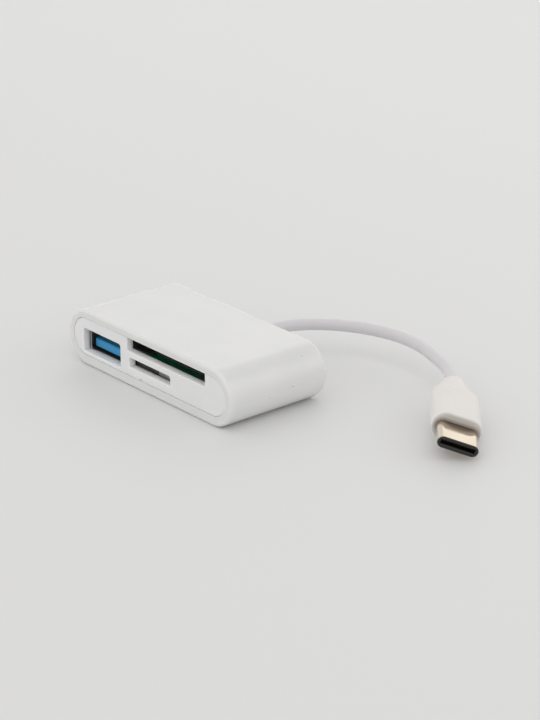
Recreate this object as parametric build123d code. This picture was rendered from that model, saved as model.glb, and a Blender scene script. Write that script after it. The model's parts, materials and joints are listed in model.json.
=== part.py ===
from build123d import *
import math
import os

os.makedirs("parts", exist_ok=True)

# Frame: millimetres, +Z up, the card openings face -Y, the cable leaves at +Y.
# The origin lies under the middle of the housing, on the surface it stands on.

# Walls of the housing sleeve, a stadium section that is open in front and closed at the rear.
rim_side = 1.8
rim_top = 1.7
rim_bottom = 2.2
rear_wall = 1.8
housing_edge_round = 0.7
over = 1.0

# Front plate and its openings, from the left: port, then the large card notch over the small card slot.
plate_gap = 0.05
plate_inset = 0.05
plate_thickness = 1.65
plate_edge_break = 0.1
port_margin = 3.18
port_open_width = 12.6
port_open_height = 5.0
web_width = 2.17
large_open_width = 25.2
right_margin = 6.45
large_open_lift = 0.1
small_open_shift = 0.71
small_open_width = 13.44
small_open_height = 2.08
small_open_drop = 2.32
open_top_round = 0.6
open_bottom_round = 0.2
hook_thickness = 0.7
hook_width = 3.0
hook_reach = 3.2
hook_foot = 0.9
hook_nose = 0.5
hook_lift = 0.15
hook_catch = 0.35
hook_clear = 0.15
pry_radius = 0.6
pry_depth = 0.2

# Circuit board, held in grooves at both ends of the sleeve.
inner_gap = 0.25
board_thickness = 1.0
board_seat = 4.73
board_in_groove = 1.5
board_notch_clear = 0.22
groove_clear = 0.05
rail_width = 2.2

# Port: stamped shell with sprung fingers, tongue and contacts.
shell_under_gap = 0.57
shell_side_overlap = 0.25
shell_roof_overlap = 0.35
shell_wall = 0.3
shell_length = 14.0
shell_corner = 0.7
shell_flare = 0.18
finger_width = 1.7
finger_thickness = 0.22
finger_slit = 0.25
finger_start = 3.05
finger_length = 4.8
finger_lean = 0.42
finger_side_offset = 2.7
ear_width = 0.62
ear_thickness = 0.3
ear_length = 2.4
ear_starts = (5.45, 11.05)
tongue_width = 11.1
tongue_thickness = 1.84
tongue_back_gap = 0.5
tongue_break = 0.2
tongue_recess = 0.68
core_clear = 0.05
core_depth = 3.6
contact_sheet = 0.15
tail_length = 1.4
long_pin_offsets = (-3.5, -1.0, 1.0, 3.5)
long_pin_width = 0.8
long_pin_recess = 3.17
long_pin_crest = 0.4
short_pin_offsets = (-4.4, -2.0, 0.0, 2.0, 4.4)
short_pin_width = 0.6
short_pin_recess = 1.3

# Large card socket on top of the board: frame, contacts, cover.
cover_sheet = 0.2
cover_clear = 0.15
socket_back_step = 0.05
large_frame_side = 0.4
large_guide_clear = 0.05
large_socket_depth = 14.9
large_floor_thickness = 0.25
large_card_room = 2.4
large_bar_recess = 1.75
large_arm_left = 5.3
large_arm_right = 4.6
large_pin_pitch = 2.5
large_pin_count = 9
large_pin_width = 0.8
large_slot_width = 1.3
large_pin_rise = 0.85
large_pin_tip_rise = 0.45
large_tail = 0.8
large_pin_run = 1.9
large_pin_bend = 4.1
large_pin_tip = 1.5
pin_slot_room = 0.6
cover_window_pitch = 8.0
cover_window_width = 2.4
cover_window_length = 6.0
cover_window_back = 3.0

# Small card socket under the board: base, contacts, cover with a tab that is bent across its front.
small_base_width = 14.8
small_base_shift = 0.76
small_socket_depth = 14.6
small_floor_thickness = 0.7
small_card_room = 1.4
small_channel_width = 11.2
small_rear_wall = 0.8
small_pin_pitch = 1.1
small_pin_count = 8
small_pin_width = 0.6
small_slot_width = 0.8
small_pin_rise = 1.0
small_pin_tip_rise = 0.65
small_pin_run = 3.6
small_pin_bend = 3.6
small_pin_tip = 1.0
small_tail = 0.8
small_drop = 0.4
skirt_lift = 0.1
tab_width = 6.8
tab_drop = 0.3
tab_top_rise = 0.05
tab_clear = 0.05

# Chips and small parts on the board.
package_break = 0.12
controller_size = (6.0, 6.0, 0.9)
controller_back = 1.0
hub_size = (4.0, 4.0, 0.85)
hub_back = -5.2
regulator_size = (2.9, 1.6, 1.1)
crystal_size = (3.2, 2.5, 0.8)
corner_part_back = 6.1
capacitor_size = (1.6, 0.8, 0.8)
capacitor_pitch = 2.4
capacitor_count = 3
side_column_inset = 2.2
resistor_length = 1.0
resistor_width = 0.5
resistor_height = 0.35
resistor_pitch = 1.5
resistor_count = 8

# Cable: bushing in the rear wall, cores to the board, round jacket outside.
rear_room = 3.4
core_strip = 1.9
cable_diameter = 2.5
bushing_neck_diameter = 4.6
bushing_flange_diameter = 7.4
bushing_flange_thickness = 1.4
core_diameter = 0.5
core_pitch = 1.2
core_count = 5
core_pad = 1.45

# Plug: grip, neck, plated shell; it lies rolled on one edge of the grip.
plug_yaw = math.radians(-41.5)
plug_pitch = math.radians(5.8)
plug_roll = math.radians(20.0)
plug_face_x = 59.12
plug_face_y = 16.95
grip_width = 10.1
grip_height = 6.1
grip_length = 12.6
grip_side_flat = 0.5
grip_front_round = 0.5
grip_rear_ease = 1.3
neck_length = 5.25
neck_root_side_step = 0.25
neck_root_step = 0.25
neck_end_diameter = 4.7
neck_end_break = 0.25
neck_root_sunk = 0.8
plug_shell_width = 8.3
plug_shell_height = 2.4
plug_shell_wall = 0.25
plug_shell_length = 6.65
plug_shell_seat = 4.0
plug_nose = 0.3
plug_nose_break = 0.12
plug_mould_depth = 10.0
plug_mouth_width = 6.9
plug_mouth_height = 0.86
plug_mouth_floor = 0.9
plug_mouth_break = 0.2
plug_pin_count = 12
plug_pin_pitch = 0.5
plug_pin_width = 0.25
plug_pin_sheet = 0.12
plug_pin_start = 1.2
plug_pin_end = 4.6
latch_sheet = 0.2
latch_height = 0.6
latch_end = 5.0
plug_board_width = 7.0
plug_board_thickness = 0.8
plug_board_length = 5.5

# Heights add up from the floor of the sleeve: port, board, large card and its cover, roof.
cavity_floor_z = rim_bottom
plate_floor_z = cavity_floor_z + plate_gap
shell_height = port_open_height + 2 * shell_roof_overlap
shell_floor_z = cavity_floor_z + shell_under_gap
shell_roof_z = shell_floor_z + shell_height
port_z = (shell_floor_z + shell_roof_z) / 2
board_top_z = shell_floor_z + board_seat
board_bottom_z = board_top_z - board_thickness
large_floor_top_z = board_top_z + large_floor_thickness
large_wall_top_z = large_floor_top_z + large_card_room
cavity_roof_z = large_wall_top_z + cover_sheet + cover_clear
housing_height = cavity_roof_z + rim_top
cavity_height = cavity_roof_z - cavity_floor_z
cavity_z = (cavity_floor_z + cavity_roof_z) / 2
large_open_floor_z = board_top_z + large_open_lift
small_open_floor_z = board_bottom_z - small_open_drop
small_wall_top_z = board_bottom_z - cover_sheet
small_base_top_z = small_wall_top_z - small_card_room
small_base_floor_z = small_base_top_z - small_floor_thickness
tongue_floor_z = shell_floor_z + shell_wall + tongue_back_gap
tongue_top_z = tongue_floor_z + tongue_thickness

# Widths add up along the plate: margin, port, web, large card notch, margin.
cavity_width = port_margin + port_open_width + web_width + large_open_width + right_margin
housing_width = cavity_width + 2 * rim_side
rail_inner_x = cavity_width / 2 - rail_width
board_half_width = rail_inner_x + board_in_groove
port_open_left = port_margin - cavity_width / 2
port_x = port_open_left + port_open_width / 2
shell_width = port_open_width + 2 * shell_side_overlap
shell_left = port_x - shell_width / 2
shell_right = port_x + shell_width / 2
large_open_left = port_open_left + port_open_width + web_width
large_x = large_open_left + large_open_width / 2
large_frame_width = large_open_width + 2 * (large_frame_side + large_guide_clear)
large_frame_left = large_x - large_frame_width / 2
large_frame_right = large_x + large_frame_width / 2
small_open_left = large_open_left + small_open_shift
small_x = small_open_left + small_open_width / 2
small_base_left = small_open_left - small_base_shift
small_base_right = small_base_left + small_base_width
small_channel_left = small_x - small_channel_width / 2
side_column_x = rail_inner_x - side_column_inset
chip_x = (small_base_right + cover_sheet + rail_inner_x) / 2
left_column_x = small_base_right + cover_sheet + side_column_inset
hook_x = (small_open_left + hook_width / 2, large_frame_right - 1.5 * hook_width)
pry_x = small_open_left + 1.3 * hook_width

# Depths add up from the front: plate, gap, large card socket, core strip, bushing room, wall.
board_depth = socket_back_step + large_socket_depth + large_tail + core_strip
housing_depth = plate_inset + plate_thickness + inner_gap + board_depth + rear_room + rear_wall
front_y = -housing_depth / 2
rear_y = housing_depth / 2
plate_front_y = front_y + plate_inset
plate_rear_y = plate_front_y + plate_thickness
board_front_y = plate_rear_y + inner_gap
board_rear_y = board_front_y + board_depth
board_y = (board_front_y + board_rear_y) / 2
cavity_rear_y = rear_y - rear_wall
shell_front_y = board_front_y
shell_rear_y = shell_front_y + shell_length
finger_tip_y = shell_front_y + finger_start
finger_root_y = finger_tip_y + finger_length
tongue_front_y = shell_front_y + tongue_recess
socket_front_y = board_front_y + socket_back_step
large_floor_front_y = socket_front_y + large_bar_recess
large_rear_y = socket_front_y + large_socket_depth
small_rear_y = socket_front_y + small_socket_depth
bushing_inner_y = cavity_rear_y - bushing_flange_thickness
cable_exit_z = housing_height / 2

# Sizes of the grip that follow from its height.
grip_corner = (grip_height - grip_side_flat) / 2
grip_rear_round = grip_corner - grip_rear_ease
neck_root_width = grip_width - 2 * neck_root_side_step
neck_root_height = grip_height - 2 * neck_root_step


def block(x0, x1, y0, y1, z0, z1):
    middle = Pos((x0 + x1) / 2, (y0 + y1) / 2, (z0 + z1) / 2)
    return middle * Box(x1 - x0, y1 - y0, z1 - z0)


def stadium_bar(width, height, y0, y1, z):
    face = Plane(origin=(0, y1, z), x_dir=(1, 0, 0), z_dir=(0, -1, 0)) * SlotOverall(width, height)
    return extrude(face, amount=y1 - y0)


def window(x, z0, width, height, y0, y1, top_round, bottom_round):
    cut = block(x - width / 2, x + width / 2, y0, y1, z0, z0 + height)
    if top_round:
        cut = fillet(cut.edges().filter_by(Axis.Y).sort_by(Axis.Z)[2:], top_round)
    return fillet(cut.edges().filter_by(Axis.Y).sort_by(Axis.Z)[:2], bottom_round)


def ribbon(points, sheet, x, width):
    # A bent strip: a line of (y, z) points with half the sheet to each side, mitred at its bends.
    left = []
    right = []
    last = len(points) - 1
    for i, (y, z) in enumerate(points):
        a = points[max(i - 1, 0)]
        b = points[min(i + 1, last)]
        before = (y - a[0], z - a[1]) if i > 0 else (b[0] - y, b[1] - z)
        after = (b[0] - y, b[1] - z) if i < last else before
        n0 = math.hypot(*before)
        n1 = math.hypot(*after)
        p = (-before[1] / n0, before[0] / n0)
        q = (-after[1] / n1, after[0] / n1)
        scale = sheet / 2 / (1 + p[0] * q[0] + p[1] * q[1])
        side = ((p[0] + q[0]) * scale, (p[1] + q[1]) * scale)
        left.append((y + side[0], z + side[1]))
        right.append((y - side[0], z - side[1]))
    outline = Polygon(*left, *reversed(right), align=None)
    return extrude(Plane.YZ.offset(x) * outline, amount=width / 2, both=True)


def write(name, *solids):
    whole = solids[0] if len(solids) == 1 else Compound(children=[s.solid() for s in solids])
    export_step(whole, f"parts/{name}.step")


# Housing sleeve. The cavity leaves rails standing at both ends, which form the board grooves,
# stop the plate and end the grooves at the rear edge of the board.
sleeve = stadium_bar(housing_width, housing_height, front_y, rear_y, housing_height / 2)
sleeve = fillet(sleeve.faces().sort_by(Axis.Y)[0].edges(), housing_edge_round)
sleeve = fillet(sleeve.faces().sort_by(Axis.Y)[-1].edges(), housing_edge_round)
cavity = stadium_bar(cavity_width, cavity_height, front_y - over, cavity_rear_y, cavity_z)
groove_top_z = board_top_z + groove_clear
groove_rear_y = board_rear_y + groove_clear
for side in (-1, 1):
    x0, x1 = sorted((side * rail_inner_x, side * (cavity_width / 2 + over)))
    cavity -= block(x0, x1, plate_rear_y, rear_y, cavity_floor_z - over, board_bottom_z)
    cavity -= block(x0, x1, plate_rear_y, rear_y, groove_top_z, cavity_roof_z + over)
    cavity -= block(x0, x1, groove_rear_y, rear_y, board_bottom_z, groove_top_z)
sleeve -= cavity
hook_tip_y = plate_rear_y + hook_reach
hook_heel_y = hook_tip_y - hook_foot
for x in hook_x:
    sleeve -= block(
        x - hook_width / 2 - hook_clear,
        x + hook_width / 2 + hook_clear,
        hook_heel_y - hook_clear,
        hook_tip_y + hook_clear,
        cavity_floor_z - hook_catch - hook_clear,
        cavity_floor_z + over,
    )
bore = Plane(origin=(0, rear_y + over, cable_exit_z), x_dir=(1, 0, 0), z_dir=(0, -1, 0))
sleeve -= extrude(bore * Circle(bushing_neck_diameter / 2), amount=rear_wall + 2 * over)
write("housing_sleeve", sleeve)

# Front plate: openings, broken front edges, a shallow pry notch, two snap hooks.
plate = stadium_bar(
    cavity_width - 2 * plate_gap, cavity_height - 2 * plate_gap, plate_front_y, plate_rear_y, cavity_z
)
cut_y0 = plate_front_y - over
cut_y1 = plate_rear_y + over
port_open_floor_z = port_z - port_open_height / 2
large_notch_height = cavity_roof_z + over - large_open_floor_z
openings = [
    (port_x, port_open_floor_z, port_open_width, port_open_height, open_top_round),
    (large_x, large_open_floor_z, large_open_width, large_notch_height, 0),
    (small_x, small_open_floor_z, small_open_width, small_open_height, open_top_round),
]
for x, floor_z, width, height, top_round in openings:
    plate -= window(x, floor_z, width, height, cut_y0, cut_y1, top_round, open_bottom_round)
plate = chamfer(plate.faces().sort_by(Axis.Y)[0].edges(), plate_edge_break)
pry = Plane(origin=(pry_x, plate_front_y + pry_depth, plate_floor_z), x_dir=(1, 0, 0), z_dir=(0, -1, 0))
plate -= extrude(pry * Circle(pry_radius), amount=pry_depth + over)
hook_floor_z = cavity_floor_z + hook_lift
hook_roof_z = hook_floor_z + hook_thickness
hook_catch_z = cavity_floor_z - hook_catch + hook_clear
hook_root_y = plate_rear_y - plate_thickness / 2
hook_outline = Polygon(
    (hook_root_y, hook_roof_z),
    (hook_tip_y, hook_roof_z),
    (hook_tip_y, (hook_floor_z + hook_roof_z) / 2),
    (hook_tip_y - hook_nose, hook_catch_z),
    (hook_heel_y, hook_catch_z),
    (hook_heel_y, hook_floor_z),
    (hook_root_y, hook_floor_z),
    align=None,
)
for x in hook_x:
    plate += extrude(Plane.YZ.offset(x) * hook_outline, amount=hook_width / 2, both=True)
write("front_plate", plate)

# Circuit board with its notch round the port.
rise_y = shell_rear_y + contact_sheet
board = block(-board_half_width, board_half_width, board_front_y, board_rear_y, board_bottom_z, board_top_z)
board -= block(
    shell_left - board_notch_clear,
    shell_right + board_notch_clear,
    board_front_y - over,
    rise_y + contact_sheet,
    board_bottom_z - over,
    board_top_z + over,
)
write("socket_board", board)

# Port shell: a folded tube with a flared mouth, six sprung fingers and four solder ears.
tube = block(shell_left, shell_right, shell_front_y, shell_rear_y, shell_floor_z, shell_roof_z)
tube = fillet(tube.edges().filter_by(Axis.Y), shell_corner)
hollow = block(
    shell_left + shell_wall,
    shell_right - shell_wall,
    shell_front_y - over,
    shell_rear_y + over,
    shell_floor_z + shell_wall,
    shell_roof_z - shell_wall,
)
tube -= fillet(hollow.edges().filter_by(Axis.Y), shell_corner - shell_wall)
mouth_edges = tube.faces().sort_by(Axis.Y)[0].inner_wires()[0].edges()
tube = chamfer(mouth_edges, shell_flare)
finger_line = [
    (finger_root_y + finger_thickness, -shell_wall / 2),
    (finger_root_y - finger_thickness, -shell_wall / 2),
    (finger_tip_y + finger_lean * 2.5, -shell_wall - finger_lean + finger_thickness / 2),
    (finger_tip_y, -shell_wall),
]
finger = ribbon(finger_line, finger_thickness, 0, finger_width)
slit = block(
    -finger_width / 2 - finger_slit,
    finger_width / 2 + finger_slit,
    finger_tip_y - finger_slit,
    finger_root_y,
    -2 * shell_wall,
    shell_wall,
)
places = [
    Pos(port_x - finger_side_offset, 0, shell_roof_z),
    Pos(port_x + finger_side_offset, 0, shell_roof_z),
    Pos(port_x - finger_side_offset, 0, shell_floor_z) * Rot(0, 180, 0),
    Pos(port_x + finger_side_offset, 0, shell_floor_z) * Rot(0, 180, 0),
    Pos(shell_left, 0, port_z) * Rot(0, -90, 0),
    Pos(shell_right, 0, port_z) * Rot(0, 90, 0),
]
for place in places:
    tube -= place * slit
    tube += place * finger
for start in ear_starts:
    y0 = shell_front_y + start
    y1 = y0 + ear_length
    ear_top_z = board_top_z + ear_thickness
    tube += block(shell_left - ear_width, shell_left + shell_wall, y0, y1, board_top_z, ear_top_z)
    tube += block(shell_right - shell_wall, shell_right + ear_width, y0, y1, board_top_z, ear_top_z)
write("port_shell", tube)

# Port contacts lie on the tongue, run through the core and step up onto the board.
contact_z = tongue_top_z + contact_sheet / 2
pad_z = board_top_z + contact_sheet / 2
tail = [(rise_y, contact_z), (rise_y, pad_z), (rise_y + tail_length, pad_z)]
long_tip_y = tongue_front_y + long_pin_recess
long_line = [
    (long_tip_y, contact_z),
    (long_tip_y + 2.5 * long_pin_crest, contact_z + long_pin_crest),
    (long_tip_y + 8 * long_pin_crest, contact_z),
] + tail
short_line = [(tongue_front_y + short_pin_recess, contact_z)] + tail
long_contacts = [ribbon(long_line, contact_sheet, port_x + dx, long_pin_width) for dx in long_pin_offsets]
short_contacts = [ribbon(short_line, contact_sheet, port_x + dx, short_pin_width) for dx in short_pin_offsets]
write("port_contacts_long", *long_contacts)
write("port_contacts_short", *short_contacts)

# Port insulator: the tongue in front of a core that fills the rear of the shell.
core_front_y = shell_rear_y - core_depth
tongue = block(
    port_x - tongue_width / 2,
    port_x + tongue_width / 2,
    tongue_front_y,
    core_front_y + over,
    tongue_floor_z,
    tongue_top_z,
)
tongue = chamfer(tongue.faces().sort_by(Axis.Y)[0].edges(), tongue_break)
core_inset = shell_wall + core_clear
core = block(
    shell_left + core_inset,
    shell_right - core_inset,
    core_front_y,
    shell_rear_y,
    shell_floor_z + core_inset,
    shell_roof_z - core_inset,
)
tongue += fillet(core.edges().filter_by(Axis.Y), shell_corner - shell_wall)
for contact in long_contacts + short_contacts:
    tongue -= contact
write("port_tongue", tongue)

# Large card socket: contacts, black frame with two arms, folded cover.
large_line = [
    (large_rear_y + large_tail, pad_z),
    (large_rear_y - large_pin_run, pad_z),
    (large_rear_y - large_pin_run - large_pin_bend, pad_z + large_pin_rise),
    (large_rear_y - large_pin_run - large_pin_bend - large_pin_tip, pad_z + large_pin_tip_rise),
]
large_first_x = large_x - (large_pin_count - 1) / 2 * large_pin_pitch
large_pins_x = [large_first_x + i * large_pin_pitch for i in range(large_pin_count)]
large_contacts = [ribbon(large_line, contact_sheet, x, large_pin_width) for x in large_pins_x]
write("large_card_contacts", *large_contacts)
card_frame = block(
    large_frame_left, large_frame_right, socket_front_y, large_rear_y, board_top_z, large_wall_top_z
)
card_frame -= block(
    large_frame_left + large_frame_side,
    large_frame_right - large_frame_side,
    socket_front_y - over,
    large_rear_y - large_frame_side,
    large_floor_top_z,
    large_wall_top_z + over,
)
card_frame -= block(
    large_frame_left + large_arm_left,
    large_frame_right - large_arm_right,
    socket_front_y - over,
    large_floor_front_y,
    board_top_z - over,
    large_floor_top_z + over,
)
pin_slot_rear_y = large_rear_y - large_pin_run + pin_slot_room
pin_slot_front_y = large_rear_y - large_pin_run - large_pin_bend - large_pin_tip - pin_slot_room
for x, contact in zip(large_pins_x, large_contacts):
    card_frame -= block(
        x - large_slot_width / 2,
        x + large_slot_width / 2,
        pin_slot_front_y,
        pin_slot_rear_y,
        board_top_z - over,
        large_floor_top_z + over,
    )
    card_frame -= contact
write("large_card_frame", card_frame)
large_cover_front_y = socket_front_y + cover_clear
large_cover = block(
    large_frame_left - cover_sheet,
    large_frame_right + cover_sheet,
    large_cover_front_y,
    large_rear_y,
    board_top_z,
    large_wall_top_z + cover_sheet,
)
large_cover = fillet(large_cover.edges().filter_by(Axis.Y).sort_by(Axis.Z)[2:], cover_sheet)
large_cover -= block(
    large_frame_left,
    large_frame_right,
    large_cover_front_y - over,
    large_rear_y + over,
    board_top_z - over,
    large_wall_top_z,
)
for i in (-1, 0, 1):
    x = large_x + i * cover_window_pitch
    large_cover -= block(
        x - cover_window_width / 2,
        x + cover_window_width / 2,
        large_rear_y - cover_window_back - cover_window_length,
        large_rear_y - cover_window_back,
        large_wall_top_z - over,
        large_wall_top_z + over,
    )
write("large_card_cover", large_cover)

# Small card socket, hung under the board: contacts, black base, folded cover.
under_z = board_bottom_z - contact_sheet / 2
small_drop_y = small_rear_y + small_drop
small_run_z = (small_base_floor_z + small_base_top_z) / 2
small_line = [
    (small_drop_y + small_tail, under_z),
    (small_drop_y, under_z),
    (small_drop_y, small_run_z),
    (small_rear_y - small_pin_run, small_run_z),
    (small_rear_y - small_pin_run - small_pin_bend, small_run_z + small_pin_rise),
    (small_rear_y - small_pin_run - small_pin_bend - small_pin_tip, small_run_z + small_pin_tip_rise),
]
small_first_x = small_x - (small_pin_count - 1) / 2 * small_pin_pitch
small_pins_x = [small_first_x + i * small_pin_pitch for i in range(small_pin_count)]
small_contacts = [ribbon(small_line, contact_sheet, x, small_pin_width) for x in small_pins_x]
write("small_card_contacts", *small_contacts)
tab_left_x = small_base_right + cover_sheet - tab_width
tab_rear_y = socket_front_y + cover_sheet
base = block(
    small_base_left, small_base_right, socket_front_y, small_rear_y, small_base_floor_z, small_wall_top_z
)
base -= block(
    small_channel_left,
    small_channel_left + small_channel_width,
    socket_front_y - over,
    small_rear_y - small_rear_wall,
    small_base_top_z,
    small_wall_top_z + over,
)
base -= block(
    tab_left_x - tab_clear,
    small_base_right + over,
    socket_front_y - over,
    tab_rear_y + tab_clear,
    small_base_floor_z - over,
    small_wall_top_z + over,
)
small_slot_rear_y = small_rear_y - small_pin_run + pin_slot_room / 2
small_slot_front_y = small_rear_y - small_pin_run - small_pin_bend - small_pin_tip - pin_slot_room
for x, contact in zip(small_pins_x, small_contacts):
    base -= block(
        x - small_slot_width / 2,
        x + small_slot_width / 2,
        small_slot_front_y,
        small_slot_rear_y,
        small_base_floor_z - over,
        small_wall_top_z,
    )
    base -= contact
write("small_card_base", base)
skirt_floor_z = small_base_floor_z + skirt_lift
small_cover = block(
    small_base_left - cover_sheet,
    small_base_right + cover_sheet,
    tab_rear_y,
    small_rear_y,
    skirt_floor_z,
    board_bottom_z,
)
small_cover -= block(
    small_base_left,
    small_base_right,
    tab_rear_y - over,
    small_rear_y + over,
    small_base_floor_z - over,
    small_wall_top_z,
)
small_cover += block(
    tab_left_x,
    small_base_right + cover_sheet,
    socket_front_y,
    tab_rear_y,
    small_open_floor_z - tab_drop,
    small_base_top_z + tab_top_rise,
)
write("small_card_cover", small_cover)


# Chips and small parts of the board.
def under_board(x, y, size):
    width, depth, height = size
    body = block(
        x - width / 2, x + width / 2, y - depth / 2, y + depth / 2, board_bottom_z - height, board_bottom_z
    )
    return chamfer(body.faces().sort_by(Axis.Z)[0].edges(), package_break)


write("controller_chip", under_board(chip_x, board_y + controller_back, controller_size))
write("hub_chip", under_board(chip_x, board_y + hub_back, hub_size))
write("regulator", under_board(side_column_x, board_y + corner_part_back, regulator_size))
write("crystal", under_board(left_column_x, board_y + corner_part_back, crystal_size))
capacitors = []
for x in (left_column_x, side_column_x):
    for i in range(capacitor_count):
        y = board_y + (i - (capacitor_count - 1) / 2) * capacitor_pitch
        capacitors.append(under_board(x, y, capacitor_size))
write("capacitors", *capacitors)
resistor_x = (large_frame_right + cover_sheet + rail_inner_x) / 2
resistors = []
for i in range(resistor_count):
    y = board_y + (i - (resistor_count - 1) / 2) * resistor_pitch
    resistors.append(
        block(
            resistor_x - resistor_length / 2,
            resistor_x + resistor_length / 2,
            y - resistor_width / 2,
            y + resistor_width / 2,
            board_top_z,
            board_top_z + resistor_height,
        )
    )
write("resistors", *resistors)

# Bushing moulded round the cable in the rear wall, and the cores that run from it to the board.
bushing_plane = Plane(origin=(0, rear_y, cable_exit_z), x_dir=(1, 0, 0), z_dir=(0, -1, 0))
bushing = extrude(bushing_plane * Circle(bushing_neck_diameter / 2), amount=rear_wall)
bushing += extrude(
    bushing_plane.offset(rear_wall) * Circle(bushing_flange_diameter / 2), amount=bushing_flange_thickness
)
write("cable_bushing", bushing)
core_z = board_top_z + core_diameter / 2
core_pad_y = board_rear_y - core_pad
cores = []
for i in range(core_count):
    x = (i - (core_count - 1) / 2) * core_pitch
    core_plane = Plane(origin=(x, bushing_inner_y, core_z), x_dir=(1, 0, 0), z_dir=(0, -1, 0))
    cores.append(extrude(core_plane * Circle(core_diameter / 2), amount=bushing_inner_y - core_pad_y))
write("cable_cores", *cores)

# Plug frame: z runs to the tip, x across the grip, which stands on its lowest front point.
plug_level_run = math.cos(plug_pitch)
plug_axis = Vector(
    math.cos(plug_yaw) * plug_level_run, math.sin(plug_yaw) * plug_level_run, -math.sin(plug_pitch)
)
level = Vector(math.sin(plug_yaw), -math.cos(plug_yaw), 0)
upright = level.cross(plug_axis)
plug_across = level * math.cos(plug_roll) + upright * math.sin(plug_roll)
fall_across = math.sin(plug_roll) * plug_level_run
fall_upright = math.cos(plug_roll) * plug_level_run
plug_face_z = (
    (grip_width / 2 - grip_corner) * fall_across
    + (grip_height / 2 - grip_corner) * fall_upright
    + grip_corner * math.hypot(fall_across, fall_upright)
)
plug_face = Vector(plug_face_x, plug_face_y, plug_face_z)
plug_place = Plane(origin=plug_face, x_dir=plug_across, z_dir=plug_axis).location


def along(face, z0, z1):
    return Pos(0, 0, z0) * extrude(face, amount=z1 - z0)


# Grip with a tapered neck, moulded round the seat of the shell.
grip = along(RectangleRounded(grip_width, grip_height, grip_corner), -grip_length, 0)
grip = fillet(grip.faces().sort_by(Axis.Z)[-1].edges(), grip_front_round)
grip = fillet(grip.faces().sort_by(Axis.Z)[0].edges(), grip_rear_round)
neck_root = Pos(0, 0, neck_root_sunk - grip_length) * Ellipse(neck_root_width / 2, neck_root_height / 2)
neck_end = Pos(0, 0, -grip_length - neck_length) * Circle(neck_end_diameter / 2)
neck = loft([neck_end, neck_root])
neck = chamfer(neck.faces().sort_by(Axis.Z)[0].edges(), neck_end_break)
grip += neck
shell_outline = SlotOverall(plug_shell_width, plug_shell_height)
liner_outline = SlotOverall(plug_shell_width - 2 * plug_shell_wall, plug_shell_height - 2 * plug_shell_wall)
grip -= along(shell_outline, -plug_mould_depth, over)
write("plug_overmould", plug_place * grip)

# Plated shell and the black liner whose nose covers the edge of the shell.
nose_start = plug_shell_length - plug_nose
plug_shell = along(shell_outline, -plug_shell_seat, nose_start)
plug_shell -= along(liner_outline, -plug_shell_seat - over, plug_shell_length + over)
write("plug_shell", plug_place * plug_shell)
nose = along(shell_outline, nose_start, plug_shell_length)
liner = chamfer(nose.faces().sort_by(Axis.Z)[-1].edges(), plug_nose_break)
liner += along(liner_outline, -plug_shell_seat, nose_start)
liner -= along(Rectangle(plug_mouth_width, plug_mouth_height), plug_mouth_floor, plug_shell_length + over)
liner = chamfer(liner.faces().sort_by(Axis.Z)[-1].inner_wires()[0].edges(), plug_mouth_break)
write("plug_insulator", plug_place * liner)

# Contacts and latches inside the mouth of the plug.
plug_pins = []
for row in (-1, 1):
    for i in range(plug_pin_count):
        x = (i - (plug_pin_count - 1) / 2) * plug_pin_pitch
        y = row * (plug_mouth_height - plug_pin_sheet) / 2
        pin = Pos(x, y, 0) * along(Rectangle(plug_pin_width, plug_pin_sheet), plug_pin_start, plug_pin_end)
        plug_pins.append(plug_place * pin)
write("plug_contacts", *plug_pins)
latches = []
for row in (-1, 1):
    x = row * (plug_mouth_width - latch_sheet) / 2
    latch = Pos(x, 0, 0) * along(Rectangle(latch_sheet, latch_height), plug_mouth_floor, latch_end)
    latches.append(plug_place * latch)
write("plug_latch_springs", *latches)

# Small board behind the shell and the inner moulding round it.
plug_board_end = -plug_shell_seat - plug_board_length
plug_board = along(Rectangle(plug_board_width, plug_board_thickness), plug_board_end, -plug_shell_seat)
inner_mould = along(shell_outline, -plug_mould_depth, -plug_shell_seat) - plug_board
write("plug_board", plug_place * plug_board)
write("plug_inner_mould", plug_place * inner_mould)

# Cable: from the bushing straight back, round to the right and into the neck of the plug.
cable_end = plug_face - plug_axis * (grip_length + neck_length)
route = [
    Vector(0, rear_y, cable_exit_z),
    Vector(0, 20.4, cable_exit_z),
    Vector(2.67, 28.2, 6.09),
    Vector(11.44, 35.36, 6.08),
    Vector(23.76, 38.44, 6.07),
    Vector(36.41, 34.57, 6.05),
    cable_end - plug_axis * 4.2,
    cable_end,
]
radii = []
for a, b, c in zip(route, route[1:], route[2:]):
    turn = math.radians((b - a).get_angle(c - b))
    radii.append(0.45 * min((b - a).length, (c - b).length) / math.tan(turn / 2))
cable_path = FilletPolyline(*route, radius=radii)
cable_section = Plane(origin=route[0], z_dir=(0, 1, 0)) * Circle(cable_diameter / 2)
cable = sweep(cable_section, path=cable_path)
write("cable", cable)

print("housing", round(housing_width, 3), round(housing_depth, 3), round(housing_height, 3))
print("cable radii", [round(r, 1) for r in radii])
print("cable length", round(cable_path.length, 2))
tube_volume = cable_section.area * cable_path.length
print("cable volume", round(cable.volume, 2), "section by length", round(tube_volume, 2))
print("route", [tuple(round(v, 3) for v in p) for p in route])
print("plug tip", plug_face + plug_axis * plug_shell_length)
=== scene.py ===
import json
import math

import bpy
from mathutils import Matrix, Vector


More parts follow.
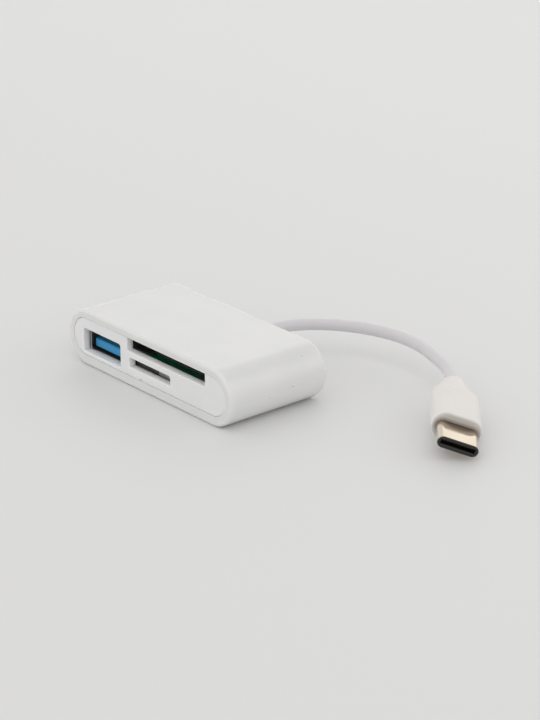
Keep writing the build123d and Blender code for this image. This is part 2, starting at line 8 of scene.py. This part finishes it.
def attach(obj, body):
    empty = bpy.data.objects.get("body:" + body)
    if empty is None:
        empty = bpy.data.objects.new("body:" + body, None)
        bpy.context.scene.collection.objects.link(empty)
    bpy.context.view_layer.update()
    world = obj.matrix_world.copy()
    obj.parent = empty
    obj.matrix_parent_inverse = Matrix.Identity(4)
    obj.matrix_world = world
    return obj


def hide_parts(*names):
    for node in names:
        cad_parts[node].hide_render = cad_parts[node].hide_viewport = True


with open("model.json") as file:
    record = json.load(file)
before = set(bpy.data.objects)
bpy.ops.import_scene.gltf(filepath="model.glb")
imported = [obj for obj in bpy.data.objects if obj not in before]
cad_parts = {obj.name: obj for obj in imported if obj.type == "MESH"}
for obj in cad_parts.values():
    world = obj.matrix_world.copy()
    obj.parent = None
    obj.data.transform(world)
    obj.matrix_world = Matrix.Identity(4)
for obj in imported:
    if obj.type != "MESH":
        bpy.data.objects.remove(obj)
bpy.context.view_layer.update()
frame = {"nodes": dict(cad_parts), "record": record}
nodes = frame["nodes"]

# The photograph's frame and the camera that took it, in pixels, degrees and metres.
IMAGE_HEIGHT = 720
SENSOR_HEIGHT = 24.0
FOCAL_PIXELS = 2690.4
CAMERA_AZIMUTH = 49.85
CAMERA_ELEVATION = 22.24
CAMERA_PLACE = (0.39816, -0.31599, 0.21209)

# Cable: the same route as the tube of the construction, in metres.
CABLE_DIAMETER = 0.0025
CABLE_ROUTE = [
    (0.0, 0.0124, 0.0061),
    (0.0, 0.0204, 0.0061),
    (0.00267, 0.0282, 0.00609),
    (0.01144, 0.03536, 0.00608),
    (0.02376, 0.03844, 0.00607),
    (0.03641, 0.03457, 0.00605),
    (0.04269, 0.031486, 0.006013),
    (0.04582, 0.028717, 0.005589),
]
CABLE_STEPS = 16
CABLE_ROUND_STEPS = 8

# Plug: what hangs on the cable's end, how it lies, and the painted shade on the grip's front and the painted
# reflection on its shell, in metres.
PLUG_YAW = math.radians(-41.5)
PLUG_PITCH = math.radians(5.8)
PLUG_AXIS = Vector(
    (
        math.cos(PLUG_YAW) * math.cos(PLUG_PITCH),
        math.sin(PLUG_YAW) * math.cos(PLUG_PITCH),
        -math.sin(PLUG_PITCH),
    )
)
PLUG_ROLL = math.radians(20.0)
PLUG_LEVEL = Vector((math.sin(PLUG_YAW), -math.cos(PLUG_YAW), 0.0))
PLUG_ACROSS = PLUG_LEVEL * math.cos(PLUG_ROLL) + PLUG_LEVEL.cross(PLUG_AXIS) * math.sin(PLUG_ROLL)
PLUG_UPRIGHT = PLUG_AXIS.cross(PLUG_ACROSS)
PLUG_FACE = Vector((0.05912, 0.01695, 0.003785))
PLUG_FACE_EDGE = 0.0004
SHELL_HEIGHT = 0.0024
SHELL_FLAT = 0.0059
# Painted shade on the grip's front: how far it reaches from the shell, and the share of it that stays farther
# out.
FRONT_SHADE_REACH = 0.0009
FRONT_SHADE_LEAST = 0.35
# Painted reflection on the plug's shell: the half width, reach and fade of its dark half oval.
DARK_REFLECTION_HALF_WIDTH = 0.0038
DARK_REFLECTION_REACH = 0.0025
DARK_REFLECTION_FADE = (0.6, 1.1)

# Marks that use and moulding left on the housing and its plate, in metres.
PARTING_LINE_HEIGHT = 0.00605
PARTING_LINE_WIDTH = 0.00011
PARTING_LINE_ENDS = (0.0255, 0.0262)
SPECK_CORE = 0.4
HOUSING_SPECKS = [
    ((0.0266, 0.0034, 0.0061), 0.00014),
    ((0.0244, 0.0076, 0.0108), 0.00013),
    ((0.02656, -0.0027, 0.0054), 0.0001),
    ((0.0215, -0.0119, 0.0119), 0.00012),
]
PLATE_SPECKS = [
    ((-0.0149, -0.01235, 0.0105), 0.00016),
    ((0.0230, -0.01235, 0.0026), 0.0002),
]

# Vias in the strip of the board that shows in the large card slot, in metres.
VIA_COLUMNS = 9
VIA_ROWS = 2
VIA_PITCH = (0.0018, 0.0008)
VIA_RADIUS = 0.00022
VIA_RISE = 0.00003
VIA_SIDES = 12
VIA_SIZES = (0.75, 1.1)
VIA_SEED = 4
VIA_MIDDLE = (0.0061, -0.0096, 0.0075)

# Room: its even level and its patches, each as direction, start and end of the ramp, change of level.
ROOM_LEVEL = 1.0
ROOM_PATCHES = [
    ((0.0, 0.0, 1.0), 0.1, 0.9, -0.1),
    ((-0.44, 0.77, 0.46), 0.9, 0.98, 0.38),
    ((0.64, 0.6, 0.47), 0.93, 0.985, 0.55),
    ((-0.03, 0.6, 0.8), 0.86, 0.97, -0.5),
    ((0.3, -0.7, 0.6), 0.3, 0.9, 0.14),
]
ROOM_TINT = (1.0, 0.995, 0.985)
OVERHEAD_POWER = 0.1
OVERHEAD_PLACE = (-0.35, 0.35, 1.1)
OVERHEAD_TARGET = (0.02, 0.01, 0.0)
OVERHEAD_SIDE = 1.2

# Floor: its tones, with the near one darker than the far one as a painted shade, and where along Y the near
# one passes into the far one, in metres.
FLOOR_HALF_SIDE = 3.0
FLOOR_NEAR = (0.72, 0.72, 0.72)
FLOOR_NEAR_DRIFT = (0.728, 0.728, 0.728)
FLOOR_FAR = (0.77, 0.77, 0.77)
FLOOR_PASSAGE = (-0.12, 0.25)

# How a finish's own noise moves its colour and its roughness, how far the plate's surface turns from the
# front to its walls, where the walls take painted light, and how red, green and blue bleed into pale plastic.
COLOUR_DRIFT = (0.3, 0.7)
GLOSS_DRIFT = (0.2, 0.8)
GLOSS_LOSS = 0.04
GLOSS_GAIN = 0.06
PAINTED_LIGHT_WALL_TURN = (0.3, 0.9)
BLEED_TINT = (1.0, 0.95, 0.9)


# Helpers for node trees.
def put_inputs(tree, node, inputs):
    """inputs maps a socket's name or index to a value or to the socket that feeds it."""
    for key, value in inputs.items():
        if isinstance(value, bpy.types.NodeSocket):
            tree.links.new(value, node.inputs[key])
        else:
            node.inputs[key].default_value = value
    return node


def add_node(tree, kind, inputs=None, **settings):
    made = tree.nodes.new(kind)
    for key, value in settings.items():
        setattr(made, key, value)
    return put_inputs(tree, made, inputs or {})


def math_node(tree, operation, *values):
    return add_node(tree, "ShaderNodeMath", dict(enumerate(values)), operation=operation).outputs[0]


def vector_node(tree, operation, first, second):
    return add_node(tree, "ShaderNodeVectorMath", {0: first, 1: second}, operation=operation).outputs


def dot_product(tree, first, second):
    return vector_node(tree, "DOT_PRODUCT", first, second)["Value"]


def hypotenuse(tree, first, second):
    squares = [math_node(tree, "MULTIPLY", side, side) for side in (first, second)]
    return math_node(tree, "SQRT", math_node(tree, "ADD", *squares))


def mix_colour(tree, factor, first, second):
    mixed = add_node(tree, "ShaderNodeMix", data_type="RGBA")
    for name, value in (("Factor_Float", factor), ("A_Color", first), ("B_Color", second)):
        socket = next(s for s in mixed.inputs if s.identifier == name)
        if isinstance(value, bpy.types.NodeSocket):
            tree.links.new(value, socket)
        else:
            socket.default_value = value
    return next(s for s in mixed.outputs if s.identifier == "Result_Color")


def ramp(tree, value, low, high, to_low=0.0, to_high=1.0):
    """A smooth step of value between low and high."""
    made = add_node(
        tree,
        "ShaderNodeMapRange",
        {"Value": value, "From Min": low, "From Max": high, "To Min": to_low, "To Max": to_high},
        interpolation_type="SMOOTHSTEP",
    )
    return made.outputs["Result"]


def rgba(red, green, blue):
    return (red, green, blue, 1.0)


# Effects that several finishes share.
def new_group(name, inputs, outputs):
    """A shader group that reads a Vector and named inputs at their usual values, and puts out floats."""
    group = bpy.data.node_groups.new(name, "ShaderNodeTree")
    group.interface.new_socket("Vector", in_out="INPUT", socket_type="NodeSocketVector")
    for label, value in inputs.items():
        kind = "NodeSocketVector" if isinstance(value, tuple) else "NodeSocketFloat"
        group.interface.new_socket(label, in_out="INPUT", socket_type=kind).default_value = value
    for label in outputs:
        group.interface.new_socket(label, in_out="OUTPUT", socket_type="NodeSocketFloat")
    return group, group.nodes.new("NodeGroupInput").outputs, group.nodes.new("NodeGroupOutput").inputs


def make_moulded_skin():
    """The fine grain that a mould leaves, and the slow cloud of its sheen."""
    scales = {"Grain Scale": 5000.0, "Cloud Scale": 90.0}
    group, given, put = new_group("moulded_skin", scales, ("Grain", "Cloud"))
    for label, detail, roughness in (("Grain", 2.0, 0.5), ("Cloud", 4.0, 0.55)):
        noise = add_node(
            group,
            "ShaderNodeTexNoise",
            {
                "Vector": given["Vector"],
                "Scale": given[label + " Scale"],
                "Detail": detail,
                "Roughness": roughness,
            },
        )
        group.links.new(noise.outputs[0], put[label])
    return group


def make_drawn_metal():
    """Fine lines along Y, as rolled or plated sheet shows them, and the smear of handling."""
    scales = {"Line Scale": 6000.0, "Smear Scale": 250.0}
    group, given, put = new_group("drawn_metal", scales, ("Lines", "Smear"))
    mapping = {"Vector": given["Vector"], "Scale": (1.0, 0.04, 1.0)}
    stretched = add_node(group, "ShaderNodeMapping", mapping).outputs[0]
    for label, place, scale, detail in (
        ("Lines", stretched, "Line Scale", 2.0),
        ("Smear", given["Vector"], "Smear Scale", 5.0),
    ):
        inputs = {"Vector": place, "Scale": given[scale], "Detail": detail}
        noise = add_node(group, "ShaderNodeTexNoise", inputs)
        group.links.new(noise.outputs[0], put[label])
    return group


def make_speck():
    """One round speck at its centre, with a soft edge."""
    group, given, put = new_group("speck", {"Centre": (0.0, 0.0, 0.0), "Radius": 0.0001}, ("Speck",))
    apart = vector_node(group, "DISTANCE", given["Vector"], given["Centre"])["Value"]
    core = math_node(group, "MULTIPLY", given["Radius"], SPECK_CORE)
    group.links.new(ramp(group, apart, core, given["Radius"], 1.0, 0.0), put["Speck"])
    return group


def make_parting_line():
    """The line in which two halves of a mould met: a plane that cuts the piece, as a thin soft band."""
    group, given, put = new_group(
        "parting_line", {"Across": (0.0, 0.0, 1.0), "Offset": 0.0, "Width": 0.0001}, ("Line",)
    )
    height = dot_product(group, given["Vector"], given["Across"])
    apart = math_node(group, "ABSOLUTE", math_node(group, "SUBTRACT", height, given["Offset"]))
    group.links.new(ramp(group, apart, 0.0, given["Width"], 1.0, 0.0), put["Line"])
    return group


MOULDED_SKIN = make_moulded_skin()
DRAWN_METAL = make_drawn_metal()
SPECK = make_speck()
PARTING_LINE = make_parting_line()


# Finishes.
def new_finish(name):
    """A material with its Principled shader and the Object coordinates that its patterns read."""
    material = bpy.data.materials.new(name)
    material.use_nodes = True
    tree = material.node_tree
    shader = tree.nodes["Principled BSDF"]
    place = add_node(tree, "ShaderNodeTexCoord").outputs["Object"]
    return material, tree, shader, place


def use_group(tree, group, place, **values):
    """A group's outputs in a material; values are named as its inputs, with _ for a space."""
    made = add_node(tree, "ShaderNodeGroup", node_tree=group)
    inputs = {key.replace("_", " "): value for key, value in values.items()}
    return put_inputs(tree, made, {"Vector": place, **inputs}).outputs


def bump(tree, shader, height, distance):
    made = add_node(tree, "ShaderNodeBump", {"Height": height, "Distance": distance})
    tree.links.new(made.outputs[0], shader.inputs["Normal"])


def drifted_colour(tree, drift, colour, shade):
    return mix_colour(tree, ramp(tree, drift, *COLOUR_DRIFT), rgba(*colour), rgba(*shade))


def set_surface(tree, shader, place, base, marks, drift, roughness):
    """Lays the marks over the base colour, and lets the roughness drift."""
    for mark in marks:
        base = mark(tree, place, base)
    tree.links.new(base, shader.inputs["Base Color"])
    gloss = ramp(tree, drift, *GLOSS_DRIFT, roughness - GLOSS_LOSS, roughness + GLOSS_GAIN)
    tree.links.new(gloss, shader.inputs["Roughness"])


# Marks, real ones and painted shade, reflection and light: each is laid over the colour of a finish.
def specks(places, colour):
    def mark(tree, place, base):
        for centre, radius in places:
            speck = use_group(tree, SPECK, place, Centre=centre, Radius=radius)["Speck"]
            base = mix_colour(tree, speck, base, rgba(*colour))
        return base

    return mark


def housing_seam(colour):
    """The parting line shows only on the round ends of the housing."""

    def mark(tree, place, base):
        sizes = {"Offset": PARTING_LINE_HEIGHT, "Width": PARTING_LINE_WIDTH}
        line = use_group(tree, PARTING_LINE, place, **sizes)["Line"]
        across = add_node(tree, "ShaderNodeSeparateXYZ", {0: place}).outputs["X"]
        on_end = ramp(tree, math_node(tree, "ABSOLUTE", across), *PARTING_LINE_ENDS)
        return mix_colour(tree, math_node(tree, "MULTIPLY", line, on_end), base, rgba(*colour))

    return mark


def grip_front_painted_shade(colour):
    """Painted shade on the front of the grip, darkest where the shell comes out."""

    def mark(tree, place, base):
        away = vector_node(tree, "SUBTRACT", place, PLUG_FACE)[0]
        on_front = ramp(tree, dot_product(tree, away, PLUG_AXIS), -PLUG_FACE_EDGE, 0.0)
        across = math_node(tree, "ABSOLUTE", dot_product(tree, away, PLUG_ACROSS))
        past_flat = math_node(tree, "MAXIMUM", math_node(tree, "SUBTRACT", across, SHELL_FLAT / 2), 0.0)
        reach = hypotenuse(tree, past_flat, dot_product(tree, away, PLUG_UPRIGHT))
        off_shell = math_node(tree, "SUBTRACT", reach, SHELL_HEIGHT / 2)
        shade_strength = ramp(tree, off_shell, 0.0, FRONT_SHADE_REACH, 1.0, FRONT_SHADE_LEAST)
        return mix_colour(tree, math_node(tree, "MULTIPLY", on_front, shade_strength), base, rgba(*colour))

    return mark


def shell_painted_reflection(colour):
    """Painted reflection: a dark brown half oval on the flats of the plug's shell, against the grip, standing
    in for the grip's shaded front mirrored in the shell.
    """

    def mark(tree, place, base):
        away = vector_node(tree, "SUBTRACT", place, PLUG_FACE)[0]
        across = dot_product(tree, away, PLUG_ACROSS / DARK_REFLECTION_HALF_WIDTH)
        forward = dot_product(tree, away, PLUG_AXIS / DARK_REFLECTION_REACH)
        reflected_dark = ramp(tree, hypotenuse(tree, across, forward), *DARK_REFLECTION_FADE, 1.0, 0.0)
        return mix_colour(tree, reflected_dark, base, rgba(*colour))

    return mark


def plate_walls_painted_light(colour):
    """Painted light: the walls of the plate's openings and its rim are paler, standing in for the light that
    comes through the plastic there.
    """

    def mark(tree, place, base):
        normal = add_node(tree, "ShaderNodeNewGeometry").outputs["True Normal"]
        to_front = math_node(tree, "ABSOLUTE", dot_product(tree, normal, (0.0, 1.0, 0.0)))
        return mix_colour(tree, ramp(tree, to_front, *PAINTED_LIGHT_WALL_TURN, 1.0, 0.0), base, rgba(*colour))

    return mark


def moulded_plastic(name, colour, shade, roughness, depth=6e-7, bleed=0.0, marks=()):
    """A moulding: its colour drifts a little to shade, its gloss with it, and light bleeds into pale ones."""
    material, tree, shader, place = new_finish(name)
    skin = use_group(tree, MOULDED_SKIN, place)
    base = drifted_colour(tree, skin["Cloud"], colour, shade)
    set_surface(tree, shader, place, base, marks, skin["Cloud"], roughness)
    bump(tree, shader, skin["Grain"], depth)
    if bleed:
        shader.inputs["Subsurface Weight"].default_value = 1.0
        shader.inputs["Subsurface Radius"].default_value = BLEED_TINT
        shader.inputs["Subsurface Scale"].default_value = bleed
    return material


def plated_metal(name, colour, shade, roughness, line_depth=3e-7, yaw=0.0, marks=()):
    """Plated or rolled sheet: fine lines, a smeared gloss and a colour that drifts with the smear."""
    material, tree, shader, place = new_finish(name)
    shader.inputs["Metallic"].default_value = 1.0
    turn = {"Vector": place, "Rotation": (0.0, 0.0, -yaw)}
    drawn = use_group(tree, DRAWN_METAL, add_node(tree, "ShaderNodeMapping", turn).outputs[0])
    base = drifted_colour(tree, drawn["Smear"], colour, shade)
    set_surface(tree, shader, place, base, marks, drawn["Smear"], roughness)
    bump(tree, shader, drawn["Lines"], line_depth)
    return material


DUST_GREY = (0.16, 0.15, 0.14)
SEAM_GREY = (0.68, 0.68, 0.67)
FINISHES = {
    "housing_white": moulded_plastic(
        "housing_white",
        (0.735, 0.735, 0.725),
        (0.715, 0.715, 0.71),
        0.2,
        bleed=0.0007,
        marks=(housing_seam(SEAM_GREY), specks(HOUSING_SPECKS, DUST_GREY)),
    ),
    "plate_white": moulded_plastic(
        "plate_white",
        (0.79, 0.79, 0.79),
        (0.77, 0.77, 0.775),
        0.42,
        bleed=0.0007,
        # painted light on the walls of the plate's openings and its rim
        marks=(plate_walls_painted_light((0.95, 0.94, 0.93)), specks(PLATE_SPECKS, DUST_GREY)),
    ),
    "grip_white": moulded_plastic(
        "grip_white",
        (0.76, 0.735, 0.71),
        (0.74, 0.715, 0.69),
        0.38,
        bleed=0.0004,
        # painted shade on the grip's front, darkest round the shell
        marks=(grip_front_painted_shade((0.34, 0.31, 0.29)),),
    ),
    "cable_grey": moulded_plastic("cable_grey", (0.67, 0.65, 0.67), (0.65, 0.63, 0.65), 0.42, bleed=0.0003),
    "tongue_blue": moulded_plastic("tongue_blue", (0.03, 0.3, 0.58), (0.03, 0.27, 0.53), 0.36),
    "socket_black": moulded_plastic("socket_black", (0.02, 0.02, 0.021), (0.03, 0.03, 0.03), 0.4),
    "liner_black": moulded_plastic("liner_black", (0.006, 0.006, 0.006), (0.01, 0.009, 0.008), 0.36),
    "chip_black": moulded_plastic("chip_black", (0.02, 0.02, 0.02), (0.03, 0.03, 0.03), 0.55),
    "ceramic_tan": moulded_plastic("ceramic_tan", (0.5, 0.36, 0.22), (0.45, 0.32, 0.2), 0.4),
    "core_red": moulded_plastic("core_red", (0.5, 0.04, 0.03), (0.45, 0.03, 0.03), 0.4),
    "board_green": moulded_plastic("board_green", (0.005, 0.09, 0.045), (0.004, 0.07, 0.035), 0.2),
    "port_nickel": plated_metal("port_nickel", (0.4, 0.34, 0.28), (0.35, 0.3, 0.25), 0.34),
    "cover_steel": plated_metal("cover_steel", (0.36, 0.36, 0.34), (0.3, 0.3, 0.28), 0.4),
    "contact_gold": plated_metal("contact_gold", (0.83, 0.64, 0.3), (0.76, 0.57, 0.26), 0.19),
    "plug_gold": plated_metal(
        "plug_gold",
        (0.67, 0.59, 0.48),
        (0.63, 0.55, 0.44),
        0.1,
        yaw=PLUG_YAW,
        # painted reflection of the grip's shaded front on the shell
        marks=(shell_painted_reflection((0.32, 0.25, 0.19)),),
    ),
}


def dress_nodes():
    """Every node of the construction takes the finish of its slot in the record."""
    for part in frame["record"]["subparts"]:
        piece = nodes[part["node"]]
        piece.data.materials.clear()
        piece.data.materials.append(FINISHES[part["material_slot"]])


# Vias of the board: a grid of low round dots.
def make_via_tree():
    tree = bpy.data.node_groups.new("board_vias", "GeometryNodeTree")
    tree.interface.new_socket("Geometry", in_out="OUTPUT", socket_type="NodeSocketGeometry")
    for label, kind in (
        ("Columns", "NodeSocketInt"),
        ("Rows", "NodeSocketInt"),
        ("Pitch X", "NodeSocketFloat"),
        ("Pitch Y", "NodeSocketFloat"),
        ("Radius", "NodeSocketFloat"),
        ("Rise", "NodeSocketFloat"),
        ("Middle", "NodeSocketVector"),
        ("Finish", "NodeSocketMaterial"),
    ):
        tree.interface.new_socket(label, in_out="INPUT", socket_type=kind)
    given = tree.nodes.new("NodeGroupInput").outputs
    put = tree.nodes.new("NodeGroupOutput").inputs
    column_steps = math_node(tree, "SUBTRACT", given["Columns"], 1.0)
    row_steps = math_node(tree, "SUBTRACT", given["Rows"], 1.0)
    grid = add_node(
        tree,
        "GeometryNodeMeshGrid",
        {
            "Size X": math_node(tree, "MULTIPLY", column_steps, given["Pitch X"]),
            "Size Y": math_node(tree, "MULTIPLY", row_steps, given["Pitch Y"]),
            "Vertices X": given["Columns"],
            "Vertices Y": given["Rows"],
        },
    )
    dot = add_node(
        tree,
        "GeometryNodeMeshCylinder",
        {"Vertices": VIA_SIDES, "Radius": given["Radius"], "Depth": given["Rise"]},
    )
    smallest, largest = VIA_SIZES
    sizes = {2: smallest, 3: largest, "Seed": VIA_SEED}
    size = add_node(tree, "FunctionNodeRandomValue", sizes, data_type="FLOAT")
    dots = add_node(
        tree,
        "GeometryNodeInstanceOnPoints",
        {"Points": grid.outputs["Mesh"], "Instance": dot.outputs["Mesh"], "Scale": size.outputs[1]},
    )
    placed = add_node(
        tree, "GeometryNodeTransform", {"Geometry": dots.outputs["Instances"], "Translation": given["Middle"]}
    )
    real = add_node(tree, "GeometryNodeRealizeInstances", {"Geometry": placed.outputs["Geometry"]})
    dressed = add_node(
        tree, "GeometryNodeSetMaterial", {"Geometry": real.outputs["Geometry"], "Material": given["Finish"]}
    )
    tree.links.new(dressed.outputs["Geometry"], put["Geometry"])
    return tree


def make_vias():
    tree = make_via_tree()
    maker = bpy.data.objects.new("board_vias", bpy.data.meshes.new("board_vias"))
    bpy.context.collection.objects.link(maker)
    modifier = maker.modifiers.new("vias", "NODES")
    modifier.node_group = tree
    values = {
        "Columns": VIA_COLUMNS,
        "Rows": VIA_ROWS,
        "Pitch X": VIA_PITCH[0],
        "Pitch Y": VIA_PITCH[1],
        "Radius": VIA_RADIUS,
        "Rise": VIA_RISE,
        "Middle": VIA_MIDDLE,
        "Finish": FINISHES["board_green"],
    }
    for item in tree.interface.items_tree:
        if item.in_out == "INPUT":
            modifier[item.identifier] = values[item.name]
    depsgraph = bpy.context.evaluated_depsgraph_get()
    mesh = bpy.data.meshes.new_from_object(maker.evaluated_get(depsgraph))
    maker.modifiers.remove(modifier)
    maker.data = mesh
    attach(maker, "root")


# Camera, cable, stage and light.
def make_camera():
    data = bpy.data.cameras.new("photo_camera")
    data.sensor_fit = "VERTICAL"
    data.sensor_height = SENSOR_HEIGHT
    data.lens = FOCAL_PIXELS / IMAGE_HEIGHT * data.sensor_height
    azimuth = math.radians(CAMERA_AZIMUTH)
    elevation = math.radians(CAMERA_ELEVATION)
    right = Vector((math.cos(azimuth), math.sin(azimuth), 0.0))
    back = Vector(
        (
            math.sin(azimuth) * math.cos(elevation),
            -math.cos(azimuth) * math.cos(elevation),
            math.sin(elevation),
        )
    )
    turn = Matrix((right, back.cross(right), back)).transposed()
    camera = bpy.data.objects.new("photo_camera", data)
    camera.matrix_world = Matrix.LocRotScale(Vector(CAMERA_PLACE), turn, None)
    bpy.context.collection.objects.link(camera)
    bpy.context.scene.camera = camera


def make_cable():
    data = bpy.data.curves.new("cable_jacket", "CURVE")
    data.dimensions = "3D"
    data.resolution_u = CABLE_STEPS
    data.bevel_depth = CABLE_DIAMETER / 2
    data.bevel_resolution = CABLE_ROUND_STEPS
    data.use_fill_caps = True
    spline = data.splines.new("NURBS")
    spline.points.add(len(CABLE_ROUTE) - 1)
    for point, place in zip(spline.points, CABLE_ROUTE):
        point.co = (*place, 1.0)
    spline.order_u = 3
    spline.use_endpoint_u = True
    cable = bpy.data.objects.new("cable_jacket", data)
    bpy.context.collection.objects.link(cable)
    data.materials.append(FINISHES["cable_grey"])
    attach(cable, "root")
    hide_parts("cable")


def make_floor():
    material, tree, shader, place = new_finish("floor_pale")
    paper = add_node(tree, "ShaderNodeTexNoise", {"Vector": place, "Scale": 3.0, "Detail": 2.0})
    near = drifted_colour(tree, paper.outputs[0], FLOOR_NEAR, FLOOR_NEAR_DRIFT)
    away = add_node(tree, "ShaderNodeSeparateXYZ", {0: place}).outputs["Y"]
    # painted shade: the floor is darker near the camera and paler far off
    colour = mix_colour(tree, ramp(tree, away, *FLOOR_PASSAGE), near, rgba(*FLOOR_FAR))
    tree.links.new(colour, shader.inputs["Base Color"])
    shader.inputs["Roughness"].default_value = 0.55
    shader.inputs["Specular IOR Level"].default_value = 0.25
    side = FLOOR_HALF_SIDE
    mesh = bpy.data.meshes.new("floor")
    corners = [(-side, -side, 0), (side, -side, 0), (side, side, 0), (-side, side, 0)]
    mesh.from_pydata(corners, [], [(0, 1, 2, 3)])
    mesh.materials.append(material)
    floor = bpy.data.objects.new("floor", mesh)
    bpy.context.collection.objects.link(floor)


def make_overhead():
    """A weak square softbox above the reader."""
    data = bpy.data.lights.new("overhead", "AREA")
    data.shape = "RECTANGLE"
    data.size = OVERHEAD_SIDE
    data.size_y = OVERHEAD_SIDE
    data.energy = OVERHEAD_POWER
    lamp = bpy.data.objects.new("overhead", data)
    lamp.location = OVERHEAD_PLACE
    aim = Vector(OVERHEAD_TARGET) - Vector(OVERHEAD_PLACE)
    lamp.rotation_euler = aim.to_track_quat("-Z", "Y").to_euler()
    bpy.context.collection.objects.link(lamp)


def make_sky():
    """A pale room: an even level, with patches that are brighter or darker."""
    world = bpy.data.worlds.new("studio")
    world.use_nodes = True
    tree = world.node_tree
    direction = add_node(tree, "ShaderNodeTexCoord").outputs["Generated"]
    level = ROOM_LEVEL
    for towards, start, end, change in ROOM_PATCHES:
        facing = dot_product(tree, direction, Vector(towards).normalized())
        level = math_node(tree, "ADD", level, ramp(tree, facing, start, end, 0.0, change))
    background = tree.nodes["Background"]
    tree.links.new(level, background.inputs["Strength"])
    background.inputs["Color"].default_value = rgba(*ROOM_TINT)
    bpy.context.scene.world = world


make_camera()
make_cable()
dress_nodes()
make_vias()
make_floor()
make_sky()
make_overhead()

bpy.context.scene.view_settings.view_transform = "Standard"
